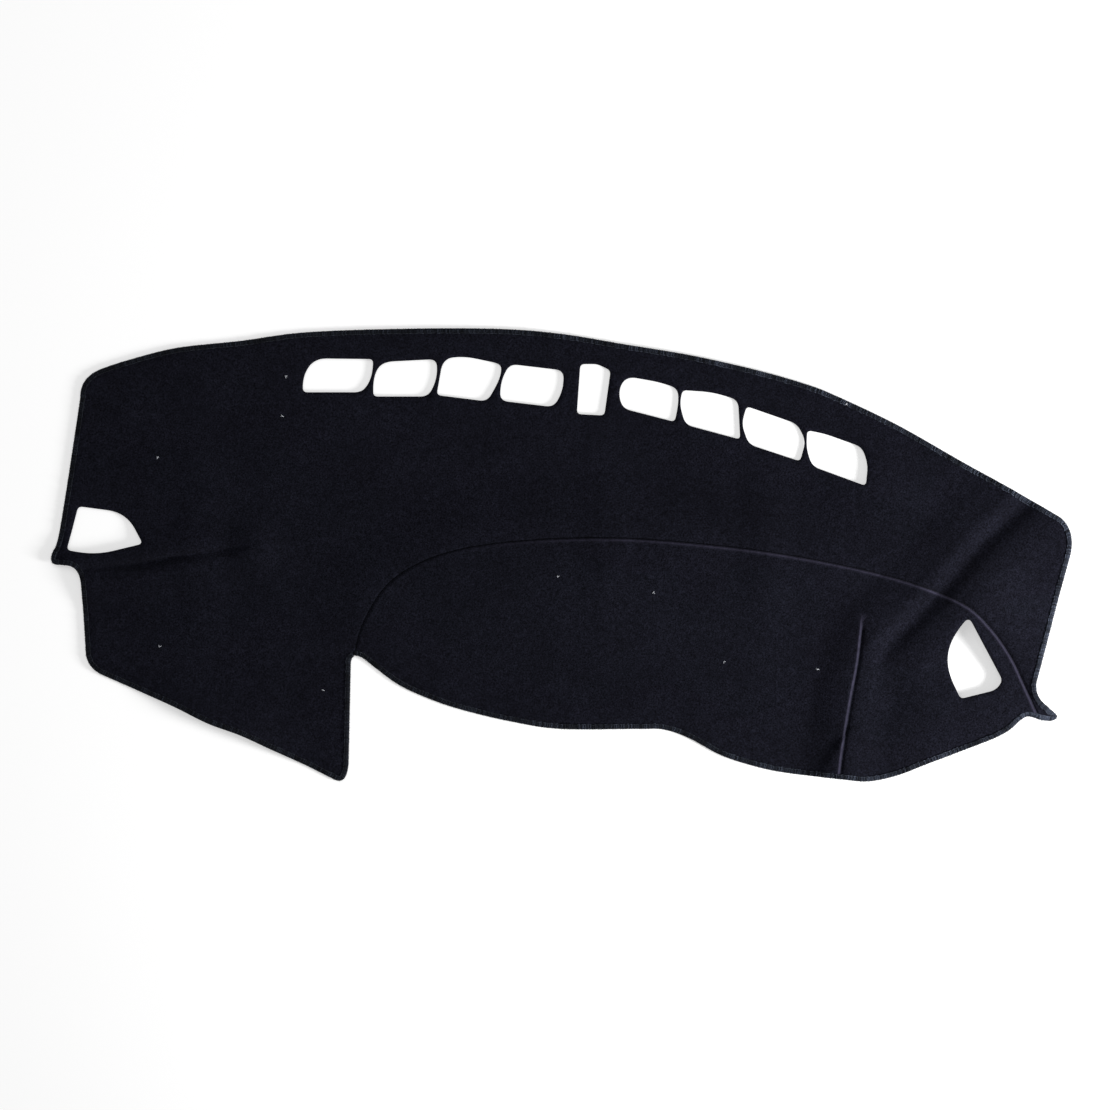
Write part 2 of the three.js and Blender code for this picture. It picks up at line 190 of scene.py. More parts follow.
# %% The free edge of each panel
notch_arc = bend(L(445, 174), L(426, 187), L(425, 167), 33)
rear_left = LB(73, 57)
rear = through([
    rear_left, LB(110, 45), LB(178, 28), LB(269, 18), LB(360, 6), LB(496, 1), LB(632, 1), LB(723, 8),
    LB(814, 23), RB(545, 38), RB(455, 58), RB(387, 77), RB(341, 94), RB(250, 137), RB(160, 188), RB(69, 239),
    RB(18, 269)])
tail = joined(bend(RB(18, 269), RB(-4, 288), RB(4, 323)), bend(R(50, 150), R(59, 124), R(37, 108)),
              bend(R(32, 103), R(12, 90), R(32, 86)), [tail_end])
hood_front = through([
    tail_end, R(63, 93), R(74, 88), R(91, 73), R(114, 61), R(160, 43), R(205, 26), R(250, 9), R(290, 1),
    R(330, 4), R(409, 13), R(455, 23), R(500, 38), R(545, 62), R(580, 74), L(836, 75), L(723, 75), L(655, 85),
    L(587, 101), L(541, 116), L(496, 136), L(462, 160), L(445, 174)])
ear = joined(bend(L(76, 150), L(53, 159), L(49, 180)), through([L(49, 180), L(46, 230), L(43, 275)]),
             bend(L(43, 275), L(42, 305), L(23, 307)), bend(L(11, 308), L(-6, 307), L(3, 328)),
             through([L(3, 328), L(9, 343), LB(19, 244), LB(32, 159), LB(41, 99)]),
             bend(LB(41, 99), LB(40, 69), rear_left))
flap = joined(notch_arc[16:], bend(L(422, 28), L(420, -9), L(398, 5)), flap_diagonal)

main_edge = joined(flap, ear, rear, tail)[::-1]
hood_edge = joined(hood_front, notch_arc[:17])[::-1]
whole_outline = joined(main_edge, hood_edge)
plan_corner = np.array([whole_outline[:, i].min() for i in (0, 1)])
frame_corner = np.array([low_corner.x, low_corner.y])
print("free edge:", round(travelled(main_edge)[-1]), "mm on the main panel and",
      round(travelled(hood_edge)[-1]), "mm on the hood")

# %% [markdown]
# ## The cut-outs
#
# Nine holes let the air through to the windscreen, and one more opens at each front corner. A hole is
# given by its corners and how far the rounding of each reaches along its sides.

# %% Holes cut into the felt
WIDE, MEDIUM, SLIGHT, TIGHT = 26, 17, 11, 6
ROOM_FOR_ROUNDING = 0.98
main_holes = [
    [(*LB(374, 43), MEDIUM), (*LB(457, 44), TIGHT), (*LB(455, 72), MEDIUM), (*LB(441, 91), SLIGHT),
     (*LB(357, 91), TIGHT), (*LB(357, 67), MEDIUM)],
    [(*LB(469, 48), MEDIUM), (*LB(547, 44), SLIGHT), (*LB(548, 72), MEDIUM), (*LB(535, 97), SLIGHT),
     (*LB(457, 97), TIGHT), (*LB(457, 69), MEDIUM)],
    [(*LB(556, 43), MEDIUM), (*LB(587, 40), MEDIUM), (*LB(639, 51), SLIGHT), (*LB(638, 70), MEDIUM),
     (*LB(619, 104), SLIGHT), (*LB(547, 95), TIGHT)],
    [(*LB(651, 51), SLIGHT), (*LB(727, 60), SLIGHT), (*LB(727, 88), MEDIUM), (*LB(713, 112), SLIGHT),
     (*LB(637, 103), SLIGHT), (*LB(638, 74), MEDIUM)],
    [(*LB(751, 51), TIGHT), (*LB(775, 51), TIGHT), (*LB(794, 60), TIGHT), (*LB(785, 124), TIGHT),
     (*LB(746, 122), TIGHT)],
    [(*RB(636, 68), MEDIUM), (*RB(585, 77), MEDIUM), (*RB(560, 86), SLIGHT), (*RB(560, 109), SLIGHT),
     (*RB(565, 133), TIGHT), (*RB(639, 114), SLIGHT), (*RB(645, 92), SLIGHT)],
    [(*RB(554, 88), TIGHT), (*RB(511, 91), MEDIUM), (*RB(475, 102), SLIGHT), (*RB(472, 158), TIGHT),
     (*RB(550, 137), SLIGHT), (*RB(558, 108), SLIGHT)],
    [(*RB(463, 111), TIGHT), (*RB(391, 136), SLIGHT), (*RB(379, 160), SLIGHT), (*RB(387, 189), TIGHT),
     (*RB(460, 165), SLIGHT), (*RB(470, 136), SLIGHT)],
    [(*RB(377, 145), TIGHT), (*RB(352, 150), SLIGHT), (*RB(299, 169), SLIGHT), (*RB(291, 194), SLIGHT),
     (*RB(294, 224), TIGHT), (*RB(370, 196), SLIGHT), (*RB(378, 171), SLIGHT)],
    [(*L(38, 391), TIGHT), (*L(106, 382), WIDE), (*L(130, 338), TIGHT), (*L(64, 322), WIDE),
     (*L(22, 329), TIGHT)],
]
hood_holes = [
    [(*R(150, 235), SLIGHT), (*R(101, 145), TIGHT), (*R(108, 131), SLIGHT), (*R(160, 118), TIGHT),
     (*R(181, 162), WIDE), (*R(176, 202), WIDE)],
]


def rounded(corners):
    """A closed line round a hole, clockwise, with each corner rounded."""
    bends = []
    for i, (x, y, reach) in enumerate(corners):
        corner = np.array([x, y])
        ends = []
        for ox, oy, other in (corners[i - 1], corners[(i + 1) % len(corners)]):
            side = np.array([ox, oy]) - corner
            length = np.linalg.norm(side)
            room = ROOM_FOR_ROUNDING * length * reach / (reach + other)
            ends.append(corner + side / length * min(reach, room))
        bends.append(bend(ends[0], corner, ends[1], 9))
    return joined(*bends)


print("holes:", len(main_holes), "in the main panel and", len(hood_holes), "in the hood")

# %% [markdown]
# ## How high the cloth stands
#
# The seams and darts pull the cloth up into low hills. One function adds up the hills: the hood's own
# arch, the raised ends of the darts, the fold across the right end, the curled edge of the flap and the
# faint creases from packing. Small waves on top keep the felt from looking pressed flat.

# %% Hills, ramps and distances
def hill(distance, reach):
    """A smooth hill, 1 at no distance and 0 from the reach on."""
    share = np.minimum(np.abs(distance) / reach, 1)
    return (1 - share * share) ** 2


def bell(distance, width):
    """A softer hill without an end."""
    return np.exp(-(distance / width) ** 2)


def ramp(distance, reach):
    """A smooth step, 0 up to no distance and 1 from the reach on."""
    share = np.clip(distance / reach, 0, 1)
    return share * share * (3 - 2 * share)


def measure(places, line):
    """For each place: distance to the line, signed distance with left positive, share along the line."""
    start, along = line[:-1], np.diff(line, axis=0)
    size = np.maximum((along**2).sum(axis=1), 1e-12)
    lengths = np.sqrt(size)
    before = np.r_[0, np.cumsum(lengths)[:-1]]
    out = []
    for block in np.array_split(places, max(len(places) // 4000, 1)):
        to = block[:, None, :] - start[None]
        t = np.clip((to * along).sum(axis=2) / size, 0, 1)
        gap = np.linalg.norm(to - t[..., None] * along, axis=2)
        best = gap.argmin(axis=1)
        row = np.arange(len(block))
        side = np.sign(along[best, 0] * to[row, best, 1] - along[best, 1] * to[row, best, 0])
        share = (before[best] + t[row, best] * lengths[best]) / lengths.sum()
        out.append(np.stack([gap[row, best], gap[row, best] * side, share], axis=1))
    return np.vstack(out).T


COARSE_STEP = 6
coarse = {name: even(line, COARSE_STEP) for name, line in {
    "hood_seam": hood_seam, "hood_dart": hood_dart, "left_dart": left_dart, "end_fold": end_fold,
    "flap_diagonal": flap_diagonal, "hood_crease": hood_crease}.items()}
print("lines that shape the cloth:", ", ".join(coarse))

# %% Height of the underside over the floor
FELT = 3.5
HOOD_RISE = 24
HOOD_REACH_FRONT, HOOD_REACH_BACK = 190, 105
FOLD_FADE = 130
DART_RISE, DART_REACH = 8, 62
TIP_RISE, TIP_REACH = 5, 44
MOUND, MOUND_RISE, MOUND_REACH = L(1160, 428), 4.5, 95
CREASES, CREASE_RISE, CREASE_REACH = (210, 786, WIDTH - 436), 2.5, 46
CREASE_MIDDLE, CREASE_HALF_LENGTH = 335, 258
WAVES, WAVE_RISE = 9, 1.1
wave_turns = rng.uniform(0, 2 * math.pi, (WAVES, 2))
wave_lengths = rng.uniform(70, 190, WAVES)


def waves(places):
    """Low soft waves, from 0 to about 1."""
    total = sum(np.sin((places @ [math.cos(turn), math.sin(turn)]) * 2 * math.pi / length + phase)
                for (turn, phase), length in zip(wave_turns, wave_lengths))
    return 0.5 + total / (2 * len(wave_lengths))


def hood_arch(places):
    """The hood stands up along the long seam, more towards its right end."""
    _, offset, share = measure(places, coarse["hood_seam"])
    crest = HOOD_RISE * np.sqrt(np.sin(np.pi * np.clip(share, 0, 1)).clip(0)) * (0.6 + 0.4 * share)
    return crest * hill(offset, np.where(offset < 0, HOOD_REACH_FRONT, HOOD_REACH_BACK))


def end_rise(places):
    """To the right of the fold the end rises steeply, and to its left runs a low bank."""
    _, offset, _ = measure(places, coarse["end_fold"])
    gentle = 9 * ramp(offset, 62) * hill(offset, 170)
    steep = 5 * ramp(offset, 24) * hill(offset, 95)
    bank = 5 * hill(offset + 38, 44) * (offset < 0) + 3.5 * bell(offset + 22, 13)
    from_end = np.hypot(*(places - coarse["end_fold"][-1]).T)
    return ((gentle + steep) * (offset > 0) + bank) * ramp(from_end, FOLD_FADE)


def dart_hill(places, name):
    """A dart pulls up a hill, highest over the half where it is widest."""
    distance, _, share = measure(places, coarse[name])
    crest = 0.4 + 0.6 * ramp(1 - share, 0.5)
    return DART_RISE * hill(distance, DART_REACH) * crest


def dart_valley(places):
    """The left dart is drawn down again along its middle."""
    distance, _, share = measure(places, coarse["left_dart"])
    return 6 * bell(distance, 9) * hill(share - 0.45, 0.65)


def flap_curl(places):
    """The long slanting edge of the flap curls up."""
    distance, _, share = measure(places, coarse["flap_diagonal"])
    return (8 * hill(distance, 60) + 7 * bell(distance, 15)) * hill(share - 0.5, 0.42)


def mound(places, top, rise, reach):
    """A round hill."""
    return rise * hill(np.hypot(*(places - np.array(top)).T), reach)


def lift(places):
    """How far the underside stands over the floor."""
    places = np.asarray(places, float)
    total = hood_arch(places) + end_rise(places)
    total = total + dart_hill(places, "hood_dart") + dart_hill(places, "left_dart")
    total = total - np.minimum(dart_valley(places), 0.75 * total)
    total = total + mound(places, left_dart[-1], TIP_RISE, TIP_REACH)
    total = total + flap_curl(places)
    total = total + mound(places, MOUND, MOUND_RISE, MOUND_REACH)
    x, y = places.T
    window = hill(y - CREASE_MIDDLE, CREASE_HALF_LENGTH)
    creases = [hill(x - place, CREASE_REACH) for place in CREASES]
    total = total + CREASE_RISE * window * np.maximum.reduce(creases)
    return total + WAVE_RISE * waves(places)


print("along the long seam the underside rises to", round(float(lift(hood_seam).max()), 1), "mm")

# %% [markdown]
# ## What the stitching does to the surface
#
# At a seam the felt is drawn down beside a turned edge and gathers in small puckers. This shapes the
# upper side only, and the underside stays smooth. A highlight is painted on the turned edge of the hood's
# two seams, brighter towards the right where the lamp is, so a second function says where.

# %% Height of the upper side
LEAST_FELT = 0.6
EDGE_OFF, EDGE_WIDTH = 3.2, 2.2
SHOULDER, SHOULDER_OFF, SHOULDER_WIDTH = 0.5, 10, 6
PUCKER, PUCKER_LENGTH, PUCKER_OFF, PUCKER_WIDTH = 0.3, 17, 8, 6
SLOPE_WIDTH = 11


def trough(places, name, deep, half_width, slope, ridge_side, ridge):
    """How the cloth goes down to a sewing line, with a turned edge and puckers on the ridge's side."""
    distance, offset, share = measure(places, coarse[name])
    length = travelled(coarse[name])[-1]
    held = ramp(share, 0.02) * ramp(1 - share, 0.05)
    beside_ridge = np.where(offset * ridge_side > 0, 1.0, 0.0)
    dip = deep * bell(distance, half_width) + slope * (1 - beside_ridge) * bell(distance, SLOPE_WIDTH)
    turned_edge = ridge * beside_ridge * bell(distance - EDGE_OFF, EDGE_WIDTH)
    shoulder = SHOULDER * beside_ridge * bell(distance - SHOULDER_OFF, SHOULDER_WIDTH)
    gathers = np.sin(share * length * 2 * math.pi / PUCKER_LENGTH)
    pucker = PUCKER * gathers * bell(distance - PUCKER_OFF, PUCKER_WIDTH)
    return held * (shoulder + turned_edge + pucker - dip), share


def upper_side(places):
    """How far the upper side stands over the floor."""
    places = np.asarray(places, float)
    at_seam, share = trough(places, "hood_seam", 2.0, 2.4, 1.4, -1, 1.1)
    top = FELT + at_seam * (0.3 + 0.7 * ramp(share, 0.6))
    top += trough(places, "hood_dart", 2.6, 2.2, 1.2, 1, 0.9)[0]
    top += trough(places, "left_dart", 2.2, 4, 1.8, -1, 0.2)[0]
    distance, _, share = measure(places, coarse["end_fold"])
    top -= 1.1 * bell(distance, 7) * ramp(1 - share, 0.25)
    distance, _, share = measure(places, coarse["hood_crease"])
    top -= 1.2 * bell(distance, 5) * hill(share - 0.5, 0.5)
    return lift(places) + np.maximum(top, LEAST_FELT)


def painted_seam_highlight(places):
    """Where a highlight is painted on the turned edge of the hood's two seams, from 0 to 1."""
    distance, offset, share = measure(places, coarse["hood_seam"])
    # The painted highlight on the long seam grows towards its right end, nearer the lamp.
    seam = bell(distance - 2.9, 1.5) * (offset < 0) * ramp(share - 0.1, 0.5)
    distance, offset, _ = measure(places, coarse["hood_dart"])
    return np.maximum(seam, bell(distance - 2.6, 1.5) * (offset > 0))


print("the upper side rises to", round(float(upper_side(hood_seam).max()), 1), "mm along the long seam")


# %% [markdown]
# ## From plan to mesh
#
# Points are spread over the panel in a honeycomb, more closely beside the sewing lines, and joined to the
# edge and the holes as triangles by a constrained Delaunay triangulation. That gives even triangles
# right up to every curved edge, which a square grid cut to shape would not.

# %% Triangles over the plan
CELL = 6.5
ROW_SHARE = 0.866
ROUNDING = 0.8
EDGE_STEP, HOLE_STEP = 4, 3
EDGE_CLEARANCE, SECOND_ROW = 6.2, 3.2
MERGE_WITHIN = 1e-5


def closed(loop):
    """The loop with its first point once more at the end."""
    return np.vstack([loop, loop[:1]])


def inside(places, loop):
    """Whether each place is inside the closed line."""
    x, y = places.T
    hit = np.zeros(len(places), bool)
    for (x1, y1), (x2, y2) in zip(loop, np.roll(loop, -1, axis=0)):
        if y1 != y2:
            hit ^= ((y1 > y) != (y2 > y)) & (x < (x2 - x1) * (y - y1) / (y2 - y1) + x1)
    return hit


def on_cloth(places, loops):
    """Whether each place is inside the first loop and outside the others."""
    keep = inside(places, loops[0])
    for hole in loops[1:]:
        keep &= ~inside(places, hole)
    return keep


def drawn_in(loop, inset):
    """A closed counter-clockwise line moved inwards, or a clockwise one round a hole moved outwards."""
    ahead = np.roll(loop, -1, axis=0) - np.roll(loop, 1, axis=0)
    ahead /= np.linalg.norm(ahead, axis=1)[:, None]
    return loop + inset * np.stack([-ahead[:, 1], ahead[:, 0]], axis=1)


def honeycomb(loops):
    """Points all over the cloth, clear of every loop."""
    low, high = loops[0].min(axis=0), loops[0].max(axis=0)
    rows = []
    for i, y in enumerate(np.arange(low[1], high[1], CELL * ROW_SHARE)):
        across = np.arange(low[0] + (i % 2) * CELL / 2, high[0], CELL)
        rows.append(np.column_stack([across, np.full(len(across), y)]))
    grid = np.vstack(rows)
    grid = grid[on_cloth(grid, loops)]
    for loop in loops:
        grid = grid[measure(grid, closed(loop))[0] > CELL * 0.5]
    return grid


def beside(line, loops, offsets):
    """Extra points in rows beside a sewing line, at each of the offsets in mm."""
    line = even(line, EDGE_STEP)
    spots = np.vstack([line + leftwards(line) * offset for offset in offsets])
    keep = inside(spots, loops[0])
    for loop in loops:
        keep &= measure(spots, closed(loop))[0] > 1
    return spots[keep]


def plan_points(loops, sewing_lines):
    """The loops, a row just inside the edge, the honeycomb and the rows beside the sewing lines."""
    points = honeycomb(loops)
    points = points[measure(points, closed(loops[0]))[0] > EDGE_CLEARANCE]
    inner = drawn_in(loops[0], SECOND_ROW)
    inner = inner[measure(inner, closed(loops[0]))[0] > SECOND_ROW - 0.6]
    points = np.vstack([points, inner])
    extra = []
    for line, offsets in sewing_lines:
        points = points[measure(points, even(line, COARSE_STEP))[0] > max(np.abs(offsets)) + 2.5]
        extra.append(beside(line, loops, offsets))
    return np.vstack(loops + [points] + extra)


def plan_triangles(loops, points):
    """Triangles that cover the cloth and face up, and their whole area."""
    ends = np.cumsum([0] + [len(loop) for loop in loops])
    edges = [(s + i, s + (i + 1) % (e - s)) for s, e in zip(ends, ends[1:]) for i in range(e - s)]
    verts, _, faces, _, _, _ = delaunay_2d_cdt([tuple(p) for p in points], edges, [], 0, MERGE_WITHIN)
    verts = np.array([tuple(v) for v in verts])
    faces = np.array([f for f in faces if len(f) == 3])
    faces = faces[on_cloth(verts[faces].mean(axis=1), loops)]
    a, b, c = (verts[faces[:, i]] for i in range(3))
    turn = (b[:, 0] - a[:, 0]) * (c[:, 1] - a[:, 1]) - (b[:, 1] - a[:, 1]) * (c[:, 0] - a[:, 0])
    faces[turn < 0] = faces[turn < 0][:, ::-1]
    return verts, faces, np.abs(turn).sum() / 2


print("cells of", CELL, "mm, closer beside the sewing lines")

# %% [markdown]
# ## A panel with its thickness
#
# The upper and lower sides are two copies of the plan, joined round every edge by a small rounded wall.
# Under the overlock thread the felt is squeezed thin from both sides.

# %% A felt panel from its triangles
SQUEEZED_TO, SQUEEZE_FADE = 3, 3.6
SQUEEZE_ABOVE, SQUEEZE_BELOW = 1.2, 0.9


def to_frame(places, heights):
    """Plan millimetres to metres in the frame."""
    flat = (np.asarray(places) - plan_corner) * MM + frame_corner
    return np.column_stack([flat, np.asarray(heights) * MM])


def placed(name, data):
    """An object with this data, in the scene."""
    thing = bpy.data.objects.new(name, data)
    bpy.context.scene.collection.objects.link(thing)
    return thing


def mesh_object(name, points, faces):
    """A smooth-shaded object from points in metres."""
    mesh = bpy.data.meshes.new(name)
    mesh.from_pydata(points, [], faces)
    mesh.shade_smooth()
    return placed(name, mesh)


def directed_edges(faces):
    """The edges that only one triangle has, in that triangle's own direction."""
    pairs = np.vstack([faces[:, [0, 1]], faces[:, [1, 2]], faces[:, [2, 0]]])
    known = set(map(tuple, pairs.tolist()))
    return [(i, j) for i, j in pairs.tolist() if (j, i) not in known]


def rim_directions(verts, wall):
    """At each point of the rim, the direction out of the cloth."""
    total = {}
    for i, j in wall:
        along = verts[j] - verts[i]
        out = np.array([along[1], -along[0]]) / max(np.linalg.norm(along), 1e-9)
        for k in (i, j):
            total[k] = total.get(k, 0) + out
    return {k: v / max(np.linalg.norm(v), 1e-9) for k, v in total.items()}


def closed_cloth(verts, faces, top, bottom):
    """Points and faces of both sides and of the rounded wall between them."""
    wall = directed_edges(faces)
    rim_verts = sorted({i for pair in wall for i in pair})
    outward = rim_directions(verts, wall)
    rim = verts[rim_verts] + ROUNDING * np.array([outward[i] for i in rim_verts])
    inset = np.minimum(ROUNDING, (top - bottom)[rim_verts] / 3)
    points = np.vstack([to_frame(verts, top), to_frame(verts, bottom),
                        to_frame(rim, top[rim_verts] - inset), to_frame(rim, bottom[rim_verts] + inset)])
    count = len(verts)
    spot = {v: k for k, v in enumerate(rim_verts)}
    solid = [tuple(f) for f in faces] + [tuple(f[::-1] + count) for f in faces]
    for i, j in wall:
        high_i, high_j = 2 * count + spot[i], 2 * count + spot[j]
        low_i, low_j = high_i + len(rim_verts), high_j + len(rim_verts)
        solid += [(j, i, high_i, high_j), (high_j, high_i, low_i, low_j),
                  (low_j, low_i, i + count, j + count)]
    return points, [tuple(int(k) for k in f) for f in solid]


def panel(name, edge, holes, sewing_lines, overlocked):
    """A felt panel, and the area of its plan in square metres."""
    loops = [drawn_in(even(closed(edge), EDGE_STEP)[:-1], ROUNDING)]
    loops += [drawn_in(even(closed(rounded(hole)), HOLE_STEP)[:-1], ROUNDING) for hole in holes]
    verts, faces, flat_area = plan_triangles(loops, plan_points(loops, sewing_lines))
    squeeze = 1 - ramp(measure(verts, overlocked)[0] - SQUEEZED_TO, SQUEEZE_FADE)
    bottom = lift(verts)
    top = np.maximum(upper_side(verts) - squeeze * SQUEEZE_ABOVE, bottom + LEAST_FELT)
    points, solid = closed_cloth(verts, faces, top, bottom + squeeze * SQUEEZE_BELOW)
    piece = mesh_object(name, points.tolist(), solid)
    # Where a highlight is painted on the turned edge of the seams, for the felt's colour.
    pale = np.zeros(len(points))
    pale[:len(verts)] = painted_seam_highlight(verts)
    piece.data.attributes.new("painted_seam_highlight", "FLOAT", "POINT").data.foreach_set("value", pale)
    area = flat_area / 1e6
    print(name, "has", len(piece.data.polygons), "faces and covers", round(area, 3), "square metres")
    return piece, area


# %% The two panels
BESIDE_A_SEAM = np.array([2.1, 3.2, 4.6, 6.8, 10, 14])
BESIDE_A_DART = np.array([0, 1.4, -1.4, 3, -3, 4.8, -4.8, 7.4, -7.4, 11, -11])
HALF_GAP = 0.15
OVERLOCKED_STEP = 5
seam_line = even(hood_seam, EDGE_STEP)
main_loop = joined(main_edge, seam_line + leftwards(seam_line) * HALF_GAP)
hood_loop = joined(hood_edge, (seam_line - leftwards(seam_line) * HALF_GAP)[::-1])

main_panel, main_area = panel(
    "main_felt_panel", main_loop, main_holes,
    [(hood_seam, BESIDE_A_SEAM), (left_dart, BESIDE_A_DART)], even(main_edge, OVERLOCKED_STEP))
hood_panel, hood_area = panel(
    "hood_felt_panel", hood_loop, hood_holes,
    [(hood_seam, -BESIDE_A_SEAM), (hood_dart, BESIDE_A_DART)], even(hood_edge, OVERLOCKED_STEP))

# %% [markdown]
# ## Overlock along the edges
#
# An overlocker wraps thread over the edge, stitch beside stitch, and locks them with a chain on the upper
# side. One stitch and one link of the chain are enough to draw. Geometry Nodes sets them side by side
# along the edge, each turned so that it points into the cloth, on a narrow base of thread.

# %% One stitch, one link and one fibre
BAND = 7.0


def swept(name, rings):
    """A closed piece from rings of points, one behind the other."""
    n, m = rings.shape[:2]
    faces = [(i * m + k, i * m + (k + 1) % m, (i + 1) * m + (k + 1) % m, (i + 1) * m + k)
             for i in range(n - 1) for k in range(m)]
    faces += [tuple(range(m))[::-1], tuple((n - 1) * m + k for k in range(m))]
    return mesh_object(name, rings.reshape(-1, 3).tolist(), faces)


def tube(name, path, radius, sides=5, sideways=(1, 0, 0)):
    """A round thread along the path, closed at both ends. The path never runs along sideways."""
    ahead = np.gradient(path, axis=0)
    ahead /= np.linalg.norm(ahead, axis=1)[:, None]
    across = np.cross(ahead, sideways)
    across /= np.linalg.norm(across, axis=1)[:, None]
    upward = np.cross(ahead, across)
    thickness = radius * np.r_[0.55, np.ones(len(path) - 2), 0.55]
    rings = [[path[i] + thickness[i] * (math.cos(turn) * across[i] + math.sin(turn) * upward[i])
              for turn in np.arange(sides) * 2 * math.pi / sides] for i in range(len(path))]
    return swept(name, np.array(rings) * MM)


def cubic(a, b, c, d, count):
    """Points on a cubic curve with the four control points."""
    t = np.linspace(0, 1, count)[:, None]
    a, b, c, d = (np.array(v, float) for v in (a, b, c, d))
    return (1 - t)**3 * a + 3 * t * (1 - t)**2 * b + 3 * t * t * (1 - t) * c + t**3 * d


stitch = tube(
    "one overlock stitch",
    cubic((1.0, BAND - 0.3, 3.75), (0.2, -2.1, 4.9), (-0.4, -2.1, -0.5), (-0.8, BAND - 1.5, 0.6), 9), 0.5)
link = tube(
    "one chain link", cubic((-1.6, 0.3, 3.6), (-0.7, -0.5, 4.75), (0.7, 0.7, 4.75), (1.6, -0.1, 3.6), 5),
    0.45, sideways=(0, 0, 1))
link.data.transform(Matrix.Translation((0, (BAND - 0.5) * MM, 0)))
fibre = tube(
    "one fibre", cubic((-1.5, 0, 0.0), (-0.7, 1.2, 0.6), (0.6, -1.3, 0.8), (1.6, 0.4, 0.2), 8),
    0.22, sides=4, sideways=(0, 0, 1))
print("drawn once each:", stitch.name, "and", link.name, "and", fibre.name)


# %% A node tree that sets things along places
def node(tree, kind, **settings):
    """A node of this kind with the settings."""
    made = tree.nodes.new(kind)
    for key, value in settings.items():
        setattr(made, key, value)
    return made


def named(tree, attribute):
    """The value of a vector attribute at each place."""
    reader = node(tree, "GeometryNodeInputNamedAttribute", data_type="FLOAT_VECTOR")
    reader.inputs["Name"].default_value = attribute
    return reader.outputs["Attribute"]


def placing_tree(things):
    """A tree that joins its own mesh with each of the things, set at every place of an object."""
    tree = bpy.data.node_groups.new("set side by side", "GeometryNodeTree")
    face = tree.interface
    face.new_socket("Geometry", in_out="OUTPUT", socket_type="NodeSocketGeometry")
    sockets = [("Geometry", "Geometry"), ("Places", "Object"), ("Seed", "Int"), ("Uneven size", "Float"),
               ("Uneven turn", "Float"), ("Material", "Material")] + [(thing, "Object") for thing in things]
    for label, kind in sockets:
        face.new_socket(label, in_out="INPUT", socket_type="NodeSocket" + kind)
    given = node(tree, "NodeGroupInput")
    out = node(tree, "NodeGroupOutput")
    wire = tree.links.new
    places = node(tree, "GeometryNodeObjectInfo")
    wire(given.outputs["Places"], places.inputs["Object"])
    turn = node(tree, "FunctionNodeAxesToRotation", primary_axis="X", secondary_axis="Y")
    wire(named(tree, "along"), turn.inputs["Primary Axis"])
    wire(named(tree, "inward"), turn.inputs["Secondary Axis"])
    join = node(tree, "GeometryNodeJoinGeometry")
    wire(given.outputs["Geometry"], join.inputs["Geometry"])
    for thing in things:
        shape = node(tree, "GeometryNodeObjectInfo")
        wire(given.outputs[thing], shape.inputs["Object"])
        lean = node(tree, "FunctionNodeRandomValue", data_type="FLOAT_VECTOR")
        wire(given.outputs["Seed"], lean.inputs["Seed"])
        less = node(tree, "ShaderNodeMath", operation="MULTIPLY")
        less.inputs[1].default_value = -1
        wire(given.outputs["Uneven turn"], less.inputs[0])
        wire(less.outputs[0], lean.inputs["Min"])
        wire(given.outputs["Uneven turn"], lean.inputs["Max"])
        leaning = node(tree, "FunctionNodeRotateRotation", rotation_space="LOCAL")
        wire(turn.outputs["Rotation"], leaning.inputs["Rotation"])
        wire(lean.outputs["Value"], leaning.inputs["Rotate By"])
        size = node(tree, "FunctionNodeRandomValue", data_type="FLOAT")
        small = node(tree, "ShaderNodeMath", operation="SUBTRACT")
        small.inputs[0].default_value = 1
        large = node(tree, "ShaderNodeMath", operation="ADD")
        large.inputs[0].default_value = 1
        for limit, socket in ((small, 2), (large, 3)):
            wire(given.outputs["Uneven size"], limit.inputs[1])
            wire(limit.outputs[0], size.inputs[socket])
        wire(given.outputs["Seed"], size.inputs["Seed"])
        put = node(tree, "GeometryNodeInstanceOnPoints")
        wire(places.outputs["Geometry"], put.inputs["Points"])
        wire(shape.outputs["Geometry"], put.inputs["Instance"])
        wire(leaning.outputs["Rotation"], put.inputs["Rotation"])
        wire(size.outputs[1], put.inputs["Scale"])
        tone = node(tree, "FunctionNodeRandomValue", data_type="FLOAT")
        wire(given.outputs["Seed"], tone.inputs["Seed"])
        keep = node(tree, "GeometryNodeStoreNamedAttribute", data_type="FLOAT", domain="INSTANCE")
        keep.inputs["Name"].default_value = "tone"
        wire(put.outputs["Instances"], keep.inputs["Geometry"])
        wire(tone.outputs[1], keep.inputs["Value"])
        wire(keep.outputs["Geometry"], join.inputs["Geometry"])
    real = node(tree, "GeometryNodeRealizeInstances")
    paint = node(tree, "GeometryNodeSetMaterial")
    wire(join.outputs["Geometry"], real.inputs["Geometry"])
    wire(real.outputs["Geometry"], paint.inputs["Geometry"])
    wire(given.outputs["Material"], paint.inputs["Material"])
    wire(paint.outputs["Geometry"], out.inputs["Geometry"])
    return tree


def set_along(piece, places, things, material, seed, uneven_size, uneven_turn):
    """Runs the tree on the piece and keeps its result as a plain mesh."""
    tree = placing_tree(list(things))
    modifier = piece.modifiers.new("set side by side", "NODES")
    modifier.node_group = tree
    values = {"Places": places, "Seed": seed, "Uneven size": uneven_size, "Uneven turn": uneven_turn,
              "Material": material, **things}
    for item in tree.interface.items_tree:
        if item.in_out == "INPUT" and item.name in values:
            modifier[item.identifier] = values[item.name]
    bpy.context.view_layer.update()
    ready = piece.evaluated_get(bpy.context.evaluated_depsgraph_get())
    mesh = bpy.data.meshes.new_from_object(ready)
    piece.modifiers.clear()
    piece.data = mesh
    print(piece.name, "has", len(mesh.polygons), "faces")
    return piece


